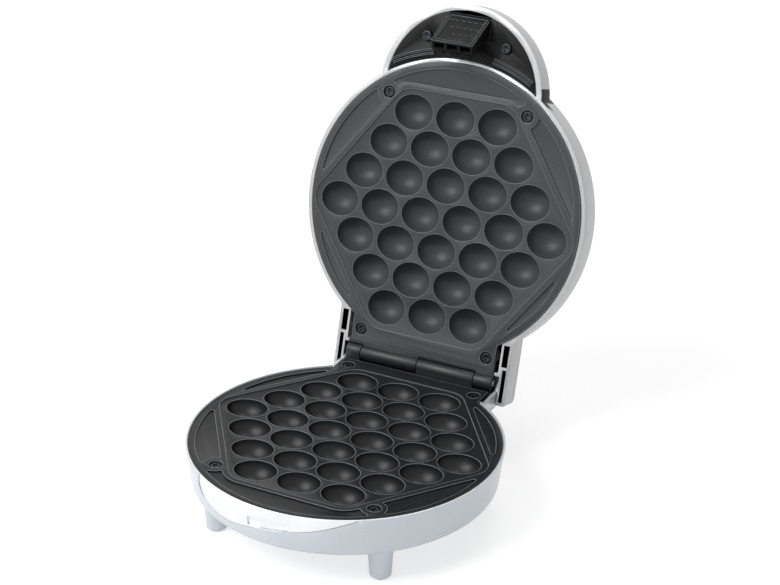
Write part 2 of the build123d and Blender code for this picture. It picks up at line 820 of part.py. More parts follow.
def lobe(inset_side, inset_top, bottom):
    """The round handle lobe, or its cavity when inset."""
    form = Pos(0, lobe_y) * post(lobe_radius - inset_side, bottom, lobe_top - inset_top)
    top = form.edges().filter_by(GeomType.CIRCLE).sort_by(Axis.Z)[-1]
    return fillet(top, lobe_edge_round - inset_top / 2)


def arm():
    """The right-hand arm beside the hinge barrel, with its rear corner rounded."""
    inner = arm_inner_x
    body = box(inner, arm_outer_x, lid_radius / 2, arm_end, lid_rim, arm_top)
    corner = body.edges().filter_by(Axis.X).group_by(Axis.Y)[-1].sort_by(Axis.Z)[-1]
    body = chamfer(corner, arm_corner)
    outer_corner = body.edges().filter_by(Axis.Z).group_by(Axis.Y)[-1].sort_by(Axis.X)[-1]
    return fillet(outer_corner, arm_corner / 2)


def arm_hollows():
    """The arm's two pockets, and the room behind the barrel for the side of the tail."""
    inner = arm_inner_x + arm_inner_wall
    outer = arm_outer_x - arm_outer_wall
    beside_tail = tail_half_width + barrel_clearance
    top = arm_top - wall
    first = box(inner, outer, arm_pocket_start, arm_bridge_y, lid_rim - 1, top)
    second = box(beside_tail + arm_inner_wall, outer, arm_bridge_y + arm_bridge, arm_end - wall,
                 lid_rim - 1, top)
    room = box(arm_inner_x - 1, beside_tail, bracket_end, arm_end + 1, lid_rim - 1, arm_top + 1)
    return [first, second, room]


def lid_outer():
    middle = box(-arm_inner_x, arm_inner_x, lid_radius / 2, bracket_end, lid_rim, arm_top)
    body = lid_disc(0, 0, lid_rim) + lobe(0, 0, lid_rim) + middle
    for piece in mirrored([arm()]):
        body += piece
    return body


def lid_cavity():
    """Everything hollow in the lid, leaving the round wall between plate and handle."""
    low = lid_rim - 1
    disc = lid_disc(lid_radius - upper_plate_radius - plate_rim_clearance, wall, low)
    handle = lobe(lobe_wall, wall, low) - post(partition_radius, low - 1, lid_top)
    middle = box(-arm_inner_x, arm_inner_x, lid_radius / 2, bracket_start, low, arm_top - wall)
    bracket = box(barrel_left - contact_gap, barrel_right + contact_gap, bracket_start - 1, bracket_end + 1,
                  low, arm_top - wall)
    return [disc, handle, middle, bracket]


def lid_housing():
    """Round shell with handle lobe and arms, plate bosses, panel bosses and latch ears."""
    outer = lid_outer()
    body = outer
    for hollow in lid_cavity():
        body -= hollow
    for hollow in mirrored(arm_hollows()):
        body -= hollow
    seat = upper_land + plate_thickness + spacer_height
    for x, y in screw_places(upper_front_screw_angle):
        body += post(boss_radius, seat, lid_top, x, y) & outer
        body -= post(screw_radius + running_clearance, seat - 1, seat + screw_length / 2, x, y)
    for x, y in shield_post_places():
        body += post(shield_post_radius, upper_land + shield_depth, lid_top, x, y) & outer
    for x in (-handle_screw_x, handle_screw_x):
        body += post(boss_radius, panel_back, lobe_top - wall / 2, x, handle_screw_y)
        body -= post(screw_radius + running_clearance, panel_back - 1, lobe_top - wall - 1, x, handle_screw_y)
    for piece in latch_ears():
        body += piece
    body -= rod(latch_pin_radius + running_clearance, -latch_width, latch_width, latch_pivot_y, pivot_z)
    for x in (-lamp_x, lamp_x):
        body -= post(lens_radius + lens_clearance, lid_rim + wall, lid_top + 1, x, lamp_y)
    return body


def latch_ears():
    """The two ears in the lobe that hold the latch's pin."""
    inner = latch_width / 2 + latch_slot_gap
    half = latch_knuckle
    ear = box(inner, inner + latch_ear, latch_pivot_y - half, latch_pivot_y + half,
              panel_back, lobe_top - wall / 2)
    return mirrored([ear])


def handle_outline(shrink):
    """Half-moon between the lobe's wall and the round wall beside the plate."""
    face = Pos(0, lobe_y) * Circle(lobe_radius - lobe_wall - shrink) - Circle(partition_radius + shrink)
    face = face.faces().sort_by(Axis.Y)[0]
    return fillet(face.vertices(), handle_panel_tip)


def handle_panel():
    """Black half-moon panel with its ribs, the latch's slot and two screw recesses."""
    body = extrude(Pos(0, 0, panel_face) * handle_outline(handle_panel_clearance), handle_panel_thickness)
    for radius in (partition_radius + distance for distance in rib_offsets):
        half = rib_width / 2
        ring = flat_ring(radius + half, radius - half, panel_face - rib_height, panel_face + 0.5)
        for side in (-1, 1):
            body += ring & rib_sector(side)
    half = latch_width / 2 + latch_slot_gap
    body -= box(-half, half, -2 * lid_radius, latch_slot_end(), lid_rim - rib_height - 1, panel_back + 1)
    for x in (-handle_screw_x, handle_screw_x):
        body += post(boss_radius, panel_face, panel_back, x, handle_screw_y)
        body -= post(screw_radius + screw_clearance, lid_rim - 5, panel_back + 1, x, handle_screw_y)
    return body


def rib_sector(side):
    """Wedge between the two rib angles, on one side of the handle."""
    reach = 2 * lid_radius
    points = [(0, 0)]
    for angle in rib_angles:
        turn = math.radians(angle)
        points.append((side * reach * math.sin(turn), -reach * math.cos(turn)))
    face = make_face(Polyline(*points, close=True))
    return extrude(Pos(0, 0, lid_rim - 2 * rib_height) * face, 4 * rib_height)


def latch_slot_end():
    """Y of the slot's edge behind the latch, clear of the lever's back."""
    lean = math.radians(latch_lean)
    drop = pivot_z - latch_root_above_parting - parting
    return latch_root_y + latch_thickness / math.cos(lean) + drop * math.tan(lean) / 4 + 2 * latch_slot_gap


def handle_screws():
    """Two cross-head screws, heads down on the handle panel."""
    screw = turned_over(cross_screw(handle_screw_length), panel_face - screw_head_height)
    return [Pos(x, handle_screw_y, 0) * screw for x in (-handle_screw_x, handle_screw_x)]


def latch_plane():
    """Plane on the lever's outer face: Y runs up to its root, Z points outwards."""
    lean = math.radians(latch_lean)
    root = (0, latch_root_y, parting + latch_root_above_parting)
    return Plane(origin=root, x_dir=(1, 0, 0), z_dir=(0, -math.cos(lean), -math.sin(lean)))


def latch():
    """Lever with framed grip face, dots, knuckle on the pin, hook teeth and ribbed end."""
    half = latch_width / 2
    face = latch_plane()
    back = -latch_thickness
    body = face * box(-half, half, -latch_length, 1.5, back, 0)
    body += rod(latch_knuckle, -half, half, latch_pivot_y, pivot_z)
    body += face * box(-half, half, -4, 4.5, back, -2.6)
    body -= face * box(-half + latch_frame, half - latch_frame, -latch_length + latch_frame, -1.0,
                       -latch_face_depth, 1)
    end_width = (latch_width - 4 * end_rib) / 3
    tooth_low = -latch_length + tooth_above_tip
    for i in range(3):
        x = -half + end_rib + i * (end_width + end_rib)
        body -= face * box(x, x + end_width, -latch_length - 1, -latch_length + end_pocket_depth,
                           back + end_rib, -end_rib)
    for i in range(3):
        x = (i - 1) * tooth_pitch
        body += face * box(x - tooth_width / 2, x + tooth_width / 2, tooth_low, tooth_low + tooth_thickness,
                           back - tooth_reach, back + end_rib / 2)
    for row, count in enumerate(grip_rows):
        for i in range(count):
            x = (i - (count - 1) / 2) * grip_pitch + 2.0
            y = -5.0 - row * grip_row_pitch
            body += face * Pos(x, y, -latch_face_depth) * Sphere(grip_dot_radius)
    return body - rod(latch_pin_radius + running_clearance, -latch_width, latch_width, latch_pivot_y, pivot_z)


def latch_pin():
    reach = latch_width / 2 + latch_slot_gap + latch_ear
    return rod(latch_pin_radius, -reach, reach, latch_pivot_y, pivot_z)


def lamp_lenses():
    """Round lenses through the lid's top, their outer ends rounded."""
    lenses = []
    for x in (-lamp_x, lamp_x):
        surface = dome_height(math.hypot(x, lamp_y), 0)
        lens = post(lens_radius, surface + lens_proud - lens_height, surface + lens_proud)
        lens = fillet(lens.edges().filter_by(GeomType.CIRCLE).sort_by(Axis.Z)[-1], lens_proud / 2)
        lenses.append(Pos(x, lamp_y) * lens)
    return lenses


def neon_lamps():
    """Lamp bulbs right behind the lenses."""
    lamps = []
    for x in (-lamp_x, lamp_x):
        top = dome_height(math.hypot(x, lamp_y), 0) + lens_proud - lens_height
        bulb = post(lamp_radius, top - lamp_length, top)
        bulb = fillet(bulb.edges().filter_by(GeomType.CIRCLE).sort_by(Axis.Z)[-1], lamp_radius / 2)
        lamps.append(Pos(x, lamp_y) * bulb)
    return lamps


def base_pieces():
    """Nodes of the standing base."""
    lower = Pos(0, 0, lower_land)
    angle = lower_front_screw_angle
    return {
        "lower_housing": [lower_housing()],
        "front_panel": [front_panel()],
        "lower_cooking_plate": [lower * cooking_plate(lower_plate_radius, angle)],
        "lower_plate_screws": [lower * screw for screw in plate_screws(angle)],
        "lower_plate_spacers": [lower * ring for ring in plate_spacers(angle)],
        "lower_heating_element": [lower * heating_element()],
        "lower_heat_shield": [lower * heat_shield()],
        "thermostat": [lower * thermostat()],
        "base_leads": leads(bowl_floor + wire_radius + contact_gap),
        "terminal_block": [terminal_block()],
        "cord_bushing": [cord_bushing()],
        "cord_clamp": [cord_clamp()],
        "bottom_cover": [bottom_cover()],
        "cover_screws": cover_screws(),
        "legs": legs(),
        "leg_screws": leg_screws(),
        "foot_pads": foot_pads(),
        "base_hinge_bracket": [base_bracket()],
        "hinge_screws": bracket_screws(),
        "hinge_pin": [hinge_pin()],
    }


def lid_pieces():
    """Nodes of the lid, as if closed."""
    angle = upper_front_screw_angle
    lead_height = dome_height(wire_ring + wire_radius, wall) - wire_radius - contact_gap
    return {
        "lid_housing": [lid_housing()],
        "upper_cooking_plate": [turned_over(cooking_plate(upper_plate_radius, angle), upper_land)],
        "upper_plate_screws": [turned_over(screw, upper_land) for screw in plate_screws(angle)],
        "upper_plate_spacers": [turned_over(ring, upper_land) for ring in plate_spacers(angle)],
        "upper_heating_element": [turned_over(heating_element(), upper_land)],
        "upper_heat_shield": [turned_over(heat_shield(), upper_land)],
        "thermal_fuse": [turned_over(thermal_fuse(), upper_land)],
        "lid_leads": leads(lead_height),
        "lid_hinge_bracket": [lid_bracket()],
        "handle_panel": [handle_panel()],
        "handle_panel_screws": handle_screws(),
        "latch": [latch()],
        "latch_pin": [latch_pin()],
        "lamp_lenses": lamp_lenses(),
        "neon_lamps": neon_lamps(),
    }


def swung_open(shapes):
    return [shape.rotate(hinge_axis, -lid_open_angle) for shape in shapes]


def centring(nodes):
    """The move that stands the open machine on height 0 with its box centred on the origin."""
    solids = [solid for shapes in nodes.values() for shape in shapes for solid in shape.solids()]
    size = Compound(solids).bounding_box()
    return (-(size.min.X + size.max.X) / 2, -(size.min.Y + size.max.Y) / 2, -size.min.Z)


def main():
    nodes = base_pieces()
    for name, shapes in lid_pieces().items():
        nodes[name] = swung_open(shapes)
    move = centring(nodes)
    os.makedirs("parts", exist_ok=True)
    for name, shapes in nodes.items():
        solids = [Pos(*move) * solid for shape in shapes for solid in shape.solids()]
        piece = solids[0] if len(solids) == 1 else Compound(solids)
        export_step(piece, f"parts/{name}.step")
    print("moved by", [round(value, 4) for value in move])


if __name__ == "__main__":
    main()
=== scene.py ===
# %% [markdown]
# # Bubble waffle maker
# The machine stands open: a round silver bowl on four short legs, a dark plate with thirty
# egg-shaped cells, and a silver lid with the same plate and a half-moon handle with a latch.
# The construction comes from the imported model, which is the frame. This script gives every
# surface its finish, softens the edges that a mould or a casting leaves round, and sets up
# the camera and the light. All lengths are in metres.

# %% Load the frame
import bmesh
import bpy
import json
import math
from mathutils import Matrix, Vector

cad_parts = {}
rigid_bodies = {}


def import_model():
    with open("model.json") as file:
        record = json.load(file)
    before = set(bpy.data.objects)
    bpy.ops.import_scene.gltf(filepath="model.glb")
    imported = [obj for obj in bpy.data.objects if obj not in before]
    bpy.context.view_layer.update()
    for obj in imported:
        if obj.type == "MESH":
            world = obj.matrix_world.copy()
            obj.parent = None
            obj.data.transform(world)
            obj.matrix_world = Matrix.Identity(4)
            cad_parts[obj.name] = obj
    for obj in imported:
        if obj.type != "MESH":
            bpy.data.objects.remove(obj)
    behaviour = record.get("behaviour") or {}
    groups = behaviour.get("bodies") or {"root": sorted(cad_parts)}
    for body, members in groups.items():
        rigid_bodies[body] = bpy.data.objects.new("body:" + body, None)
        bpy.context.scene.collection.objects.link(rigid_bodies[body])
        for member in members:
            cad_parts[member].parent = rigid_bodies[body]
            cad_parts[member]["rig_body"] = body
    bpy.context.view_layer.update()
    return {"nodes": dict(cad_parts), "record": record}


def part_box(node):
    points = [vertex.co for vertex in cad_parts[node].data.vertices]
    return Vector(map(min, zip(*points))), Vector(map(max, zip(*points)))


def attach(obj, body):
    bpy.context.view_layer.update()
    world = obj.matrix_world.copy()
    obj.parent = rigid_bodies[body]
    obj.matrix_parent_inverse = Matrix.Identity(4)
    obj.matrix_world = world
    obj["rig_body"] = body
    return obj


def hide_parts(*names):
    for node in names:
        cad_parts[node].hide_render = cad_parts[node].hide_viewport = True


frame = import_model()
MM = 0.001

# %% [markdown]
# Three small helpers serve the whole file. Colours are written as sRGB hex codes, as a paint
# maker would give them, and turned to the linear values that the renderer works in. Node trees
# are built with one function that adds a node, sets it and wires its inputs, so that a
# material reads as a list of what it is made of. A third one starts a material.


# %% Colour and node helpers
def hue(code):
    """An sRGB hex code as a linear colour with alpha."""
    channels = [int(code[i:i + 2], 16) / 255 for i in (1, 3, 5)]
    return [c / 12.92 if c <= 0.04045 else ((c + 0.055) / 1.055) ** 2.4 for c in channels] + [1.0]


def add(tree, kind, settings=None, inputs=None):
    """Add a node. An input is a value, or the output socket of another node."""
    made = tree.nodes.new(kind)
    for name, value in (settings or {}).items():
        setattr(made, name, value)
    for name, value in (inputs or {}).items():
        if isinstance(value, bpy.types.NodeSocket):
            tree.links.new(value, made.inputs[name])
        else:
            made.inputs[name].default_value = value
    return made


def start_material(name):
    """A new material with its tree, its surface shader and its output already joined."""
    material = bpy.data.materials.new(name)
    material.use_nodes = True
    tree = material.node_tree
    tree.nodes.clear()
    shader = add(tree, "ShaderNodeBsdfPrincipled")
    add(tree, "ShaderNodeOutputMaterial", inputs={"Surface": shader.outputs["BSDF"]})
    return material, tree, shader


# %% [markdown]
# Fine grain is what tells plastic, paint and cast coatings apart. The same few nodes make it
# each time: a noise whose grain is given in real millimetres, read from Object coordinates so
# that it stays put when a piece moves. Its size is the real one where that shows in the
# picture, and a little coarser where it would vanish.


# %% Grain helper
def grain(tree, size_mm, detail=2.0, roughness=0.5):
    """Noise with a grain of the given size, from 0 to 1."""
    place = add(tree, "ShaderNodeTexCoord")
    noise = add(tree, "ShaderNodeTexNoise", inputs={
        "Vector": place.outputs["Object"], "Scale": 1 / (size_mm * MM),
        "Detail": detail, "Roughness": roughness})
    return noise.outputs["Fac"]


def spread(tree, factor, low, high):
    """Rescale a factor from its middle range to run between two values."""
    ramp = add(tree, "ShaderNodeMapRange", inputs={
        "Value": factor, "From Min": 0.3, "From Max": 0.7, "To Min": low, "To Max": high})
    return ramp.outputs["Result"]


def bumped(tree, shader, factor, height_mm):
    """Let a factor raise the surface by a real height."""
    bump = add(tree, "ShaderNodeBump", inputs={
        "Height": factor, "Distance": height_mm * MM, "Strength": 1.0})
    tree.links.new(bump.outputs["Normal"], shader.inputs["Normal"])


def tinted(tree, shader, factor, dark, light):
    """Vary the base colour between two near shades."""
    mix = add(tree, "ShaderNodeMix", {"data_type": "RGBA"}, {0: factor, 6: hue(dark), 7: hue(light)})
    tree.links.new(mix.outputs[2], shader.inputs["Base Color"])


# %% [markdown]
# The housings are ABS mouldings sprayed with silver paint. Aluminium flakes of about a tenth
# of a millimetre lie in a clear binder: the surface is half metallic, its shine is soft, and
# close up it glitters. The flakes are drawn at 0.35 mm so that they still show here. The lid
# has the coarser, livelier grain. The base is a shade bluer and nearly smooth, as a separately
# sprayed part with finer flakes is.

# %% Silver paints
FLAKE_MM = 0.35
PATCH_MM = 0.5
PAINT_METALLIC = 0.45
CLEAR_COAT, CLEAR_COAT_ROUGHNESS = 0.25, 0.15


def silver_paint(name, dark, light, roughness, relief_mm):
    """Aluminium flakes in a clear binder."""
    material, tree, shader = start_material(name)
    flakes = grain(tree, FLAKE_MM, 1.0)
    tinted(tree, shader, spread(tree, flakes, 0.0, 1.0), dark, light)
    shine = spread(tree, grain(tree, PATCH_MM, 0.0), roughness - 0.06, roughness + 0.06)
    tree.links.new(shine, shader.inputs["Roughness"])
    shader.inputs["Metallic"].default_value = PAINT_METALLIC
    shader.inputs["Coat Weight"].default_value = CLEAR_COAT
    shader.inputs["Coat Roughness"].default_value = CLEAR_COAT_ROUGHNESS
    bumped(tree, shader, flakes, relief_mm)
    return material


lid_silver = silver_paint("silver painted ABS, lid", "#a8a9ab", "#d2d3d4", 0.36, 0.004)
base_silver = silver_paint("silver painted ABS, base", "#c8cfd6", "#d5dae0", 0.34, 0.001)
print("paints", lid_silver.name, "and", base_silver.name)

# %% [markdown]
# The cooking plates are cast aluminium with a sprayed and baked non-stick coating. It is a
# dark grey film with a slight orange-peel waviness and tiny specks, with a silky shine that
# draws soft highlights along every rounded rim. The lower plate is the glossier of the two,
# and its colour is darker as painted shade, since lying flat it gets less light. The film is
# a fluoropolymer, whose index of refraction is only 1.35, so it mirrors less than other
# plastics do. The beads along the rims are coloured lighter as a painted highlight.

# %% Non-stick coated aluminium
SPECK_MM = 0.5
PEEL_MM, PEEL_RELIEF_MM = 2.4, 0.015
FLUOROPOLYMER_IOR = 1.35


def coated_aluminium(name, dark, light, roughness):
    """A sprayed and baked film with an orange-peel surface."""
    material, tree, shader = start_material(name)
    specks = grain(tree, SPECK_MM, 1.0)
    tinted(tree, shader, spread(tree, specks, 0.0, 1.0), dark, light)
    peel = grain(tree, PEEL_MM, 2.0)
    tree.links.new(spread(tree, peel, roughness - 0.04, roughness + 0.04), shader.inputs["Roughness"])
    bumped(tree, shader, peel, PEEL_RELIEF_MM)
    shader.inputs["IOR"].default_value = FLUOROPOLYMER_IOR
    return material


upper_coating = coated_aluminium("non-stick coated aluminium, lid", "#3d3f41", "#494c4e", 0.42)
# The lower plate's coating is coloured darker than the lid's as painted shade.
lower_coating_painted_shade = coated_aluminium("non-stick coated aluminium, base, painted shade", "#131416", "#1b1c1e", 0.38)
# The rim beads are coloured lighter than the coating as a painted highlight.
rim_highlight_paint = coated_aluminium("non-stick coating, painted rim highlights", "#65686b", "#7b7e81", 0.3)
print("coatings", upper_coating.name, "and", lower_coating_painted_shade.name)

# %% [markdown]
# Handle panel, latch and hinge are black heat-proof plastic, moulded in a finely sparked
# steel tool. The tool's texture, 0.4 mm from grain to grain here, makes the black read as a
# soft dark grey where light grazes it, and it mirrors little. The hinge is moulded in a
# smoother tool, is a shade lighter and shines a little more. Edge beads are a painted highlight.

# %% Black plastic
SPARK_MM, SPARK_RELIEF_MM = 0.4, 0.01
PLASTIC_SMOOTHEST, PLASTIC_ROUGHEST = 0.34, 0.46


def black_plastic(name, dark, light, mirroring):
    """Moulded black plastic with a sparked texture."""
    material, tree, shader = start_material(name)
    texture = grain(tree, SPARK_MM, 2.0)
    tinted(tree, shader, spread(tree, texture, 0.0, 1.0), dark, light)
    shine = spread(tree, texture, PLASTIC_SMOOTHEST, PLASTIC_ROUGHEST)
    tree.links.new(shine, shader.inputs["Roughness"])
    bumped(tree, shader, texture, SPARK_RELIEF_MM)
    shader.inputs["Specular IOR Level"].default_value = mirroring
    return material


phenolic = black_plastic("black phenolic plastic", "#090a0b", "#121314", 0.16)
satin_black = black_plastic("black phenolic plastic, hinge", "#1a1b1d", "#262729", 0.4)
# Light grey beads along the black plastic's edges are a painted highlight.
edge_highlight_paint = black_plastic("black phenolic plastic, painted edge highlights", "#707376", "#8a8d90", 0.3)

# %% [markdown]
# The crescent in front is metallised plastic with a satin lacquer over it: bright, but what it
# mirrors is blurred. A faint waviness from the moulding keeps the reflections from being
# perfectly straight.

# %% Bright trim and metals
def bright_trim():
    """Metallised plastic under a satin lacquer."""
    material, tree, shader = start_material("metallised ABS trim")
    wave = grain(tree, 18.0, 0.0)
    tinted(tree, shader, wave, "#e6e8ea", "#f6f7f8")
    bumped(tree, shader, wave, 0.02)
    shader.inputs["Metallic"].default_value = 0.7
    shader.inputs["Roughness"].default_value = 0.34
    return material


def drawn_metal(name, dark, light, roughness, metallic=1.0):
    """Steel parts: cloudy plating with fine scratches in its shine."""
    material, tree, shader = start_material(name)
    cloud = grain(tree, 1.6, 3.0)
    tinted(tree, shader, spread(tree, cloud, 0.0, 1.0), dark, light)
    tree.links.new(spread(tree, grain(tree, 0.3, 2.0), roughness - 0.08, roughness + 0.08),
                   shader.inputs["Roughness"])
    shader.inputs["Metallic"].default_value = metallic
    return material


trim = bright_trim()
dark_screw = drawn_metal("blackened steel", "#2b2c2e", "#3c3d40", 0.35, 0.9)
zinc = drawn_metal("zinc-plated steel", "#a9abad", "#c6c8c9", 0.3)
sheath = drawn_metal("heat-tinted steel tube", "#5d554c", "#7d7469", 0.4)

# %% [markdown]
# A few small pieces complete the list: rubber pads under the legs, white ceramic round the
# screws, the thermostat and the terminals, woven glass sleeves on the wires, and the two red
# indicator lenses with a little neon bulb behind each.

# %% Rubber, ceramic, sleeve, lens and bulb
ACRYLIC_IOR = 1.49


def dull(name, dark, light, roughness, size_mm, height_mm):
    """A surface without shine, with a grain of the given size and height."""
    material, tree, shader = start_material(name)
    texture = grain(tree, size_mm, 3.0)
    tinted(tree, shader, spread(tree, texture, 0.0, 1.0), dark, light)
    shader.inputs["Roughness"].default_value = roughness
    bumped(tree, shader, texture, height_mm)
    return material


def clear(name, shade, roughness, transmission):
    """A tinted see-through piece."""
    material, tree, shader = start_material(name)
    tinted(tree, shader, grain(tree, 3.0, 1.0), shade, shade)
    shader.inputs["Roughness"].default_value = roughness
    shader.inputs["Transmission Weight"].default_value = transmission
    shader.inputs["IOR"].default_value = ACRYLIC_IOR
    return material


rubber = dull("black rubber", "#161616", "#222222", 0.7, 0.5, 0.02)
ceramic = dull("steatite ceramic", "#d5d0c4", "#e6e2d8", 0.55, 0.6, 0.02)
sleeve = dull("woven glass sleeve", "#bdb8ab", "#dedad0", 0.8, 0.4, 0.05)
lens_red = clear("red acrylic", "#a01410", 0.12, 0.35)
bulb = clear("neon bulb glass", "#f3d9c4", 0.05, 0.9)
print(len(bpy.data.materials), "materials")

# %% [markdown]
# Each carried-over piece gets a softened copy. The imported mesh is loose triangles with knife
# edges; real mouldings and castings have a small radius on every edge, and that is where the
# light catches. The copy is welded, its flat faces are joined, a bevel of the real radius is
# cut along its sharp edges, and the rest is shaded smooth. The copy then stands for the node.


# %% Softened copies
WELD_DISTANCE = 0.002 * MM
FLAT_ANGLE = math.radians(0.5)
SHARP_ANGLE = math.radians(38.0)
BEVEL_SEGMENTS = 2


def welded(node, name, mend=None):
    """A copy of a node's mesh with its loose triangles joined and its flat faces made whole."""
    mesh = frame["nodes"][node].data.copy()
    mesh.name = name
    work = bmesh.new()
    work.from_mesh(mesh)
    bmesh.ops.remove_doubles(work, verts=work.verts, dist=WELD_DISTANCE)
    if mend:
        mend(work)
    bmesh.ops.dissolve_limit(work, angle_limit=FLAT_ANGLE, verts=work.verts, edges=work.edges)
    work.to_mesh(mesh)
    work.free()
    piece = bpy.data.objects.new(name, mesh)
    bpy.context.scene.collection.objects.link(piece)
    return piece


def evaluated(piece):
    """The mesh that a piece's modifiers make of it."""
    return bpy.data.meshes.new_from_object(piece.evaluated_get(bpy.context.evaluated_depsgraph_get()))


def softened(node, material, radius_mm, mend=None):
    """A welded copy of a node with rounded edges and smooth faces, standing for the node."""
    piece = welded(node, node + "_soft", mend)
    if radius_mm:
        bevel = piece.modifiers.new("Edge radius", "BEVEL")
        bevel.width = radius_mm * MM
        bevel.segments = BEVEL_SEGMENTS
        bevel.limit_method = "ANGLE"
        bevel.angle_limit = SHARP_ANGLE
        bevel.use_clamp_overlap = True
        bevel.harden_normals = False
        finished = evaluated(piece)
        piece.modifiers.clear()
        piece.data = finished
    piece.data.materials.clear()
    piece.data.materials.append(material)
    piece.data.shade_smooth()
    piece.data.set_sharp_from_angle(angle=SHARP_ANGLE)
    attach(piece, frame["nodes"][node]["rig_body"])
    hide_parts(node)
    return piece


# Each node's material and edge radius in millimetres.
finishes = {
    "lower_housing": (base_silver, 0.4),
    "front_panel": (trim, 0.2),
    "lower_cooking_plate": (lower_coating_painted_shade, 0.5),
    "lower_plate_screws": (dark_screw, 0.12),
    "lower_plate_spacers": (ceramic, 0.2),
    "lower_heating_element": (sheath, 0.0),
    "lower_heat_shield": (zinc, 0.1),
    "thermostat": (ceramic, 0.3),
    "base_leads": (sleeve, 0.0),
    "terminal_block": (ceramic, 0.3),
    "cord_bushing": (phenolic, 0.3),
    "cord_clamp": (phenolic, 0.3),
    "bottom_cover": (base_silver, 0.3),
    "cover_screws": (zinc, 0.1),
    "legs": (base_silver, 0.3),
    "leg_screws": (dark_screw, 0.12),
    "foot_pads": (rubber, 0.0),
    "base_hinge_bracket": (satin_black, 0.3),
    "hinge_screws": (zinc, 0.1),
    "hinge_pin": (zinc, 0.2),
    "lid_housing": (lid_silver, 0.4),
    "upper_cooking_plate": (upper_coating, 0.5),
    "upper_plate_screws": (dark_screw, 0.12),
    "upper_plate_spacers": (ceramic, 0.2),
    "upper_heating_element": (sheath, 0.0),
    "upper_heat_shield": (zinc, 0.1),
    "thermal_fuse": (ceramic, 0.2),
    "lid_leads": (sleeve, 0.0),
    "lid_hinge_bracket": (satin_black, 0.3),
    "handle_panel": (phenolic, 0.25),
    "handle_panel_screws": (dark_screw, 0.12),
    "latch_pin": (zinc, 0.1),
    "lamp_lenses": (lens_red, 0.1),
    "neon_lamps": (bulb, 0.0),
}
dressed = {}
for node, (material, radius) in finishes.items():
    dressed[node] = softened(node, material, radius)
    print(node, len(dressed[node].data.polygons), "faces")

# %% [markdown]
# The next pieces are placed on the lid, which stands open. They are worked out as on a closed
# lid, where everything is square, and then swung about the hinge. The hinge's place and its
# range come from the frame's own record, so nothing has to be measured.

# %% Closed and open lid
hinges = {joint["name"]: joint for joint in frame["record"]["behaviour"]["joints"]}
hinge = Vector(hinges["lid_hinge"]["pos_m"])
lid_angle = math.radians(hinges["lid_hinge"]["range_deg"][1])
closing = Matrix.Translation(hinge) @ Matrix.Rotation(lid_angle, 4, "X") @ Matrix.Translation(-hinge)
opening = closing.inverted()
print("lid opens", round(math.degrees(lid_angle), 1), "degrees about", tuple(round(v, 4) for v in hinge))

# %% [markdown]
# The faces inside the lid are given the black plastic: the pockets in the two arms and
# everything behind the plate. The rims stay silver. A face is inside if it looks down into the
# closed lid above the rim, or if it lies in an arm's pocket or within the round wall. The
# pocket rule has no limit towards the handle, so it also takes a strip of the outer wall at
# each end of the lobe. That strip should be silver.

# %% Black inside of the lid
rim_above_hinge = -1.8 * MM
above_rim_by = 0.4 * MM
pocket_sides = (57.7 * MM, 63.4 * MM)
pocket_end = 13 * MM
pocket_top = 14 * MM
round_inside = 99.6 * MM
shell = dressed["lid_housing"].data
shell.materials.append(phenolic)
plate_low, plate_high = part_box("lower_cooking_plate")
plate_middle_y = plate_low[1] + (plate_high[0] - plate_low[0]) / 2
inside_faces = 0
for face in shell.polygons:
    centre = closing @ face.center
    looks = (closing.to_3x3() @ face.normal).z
    height = centre.z - hinge.z
    above_rim = height > rim_above_hinge + above_rim_by
    in_pocket = pocket_sides[0] < abs(centre.x) < pocket_sides[1] and centre.y < hinge.y + pocket_end
    in_round = math.hypot(centre.x, centre.y - plate_middle_y) < round_inside and abs(looks) < 0.5
    if above_rim and (looks < -0.5 or (in_pocket and height < pocket_top) or in_round):
        face.material_index = 1
        inside_faces += 1
print(inside_faces, "of", len(shell.polygons), "faces of the lid are given black plastic")
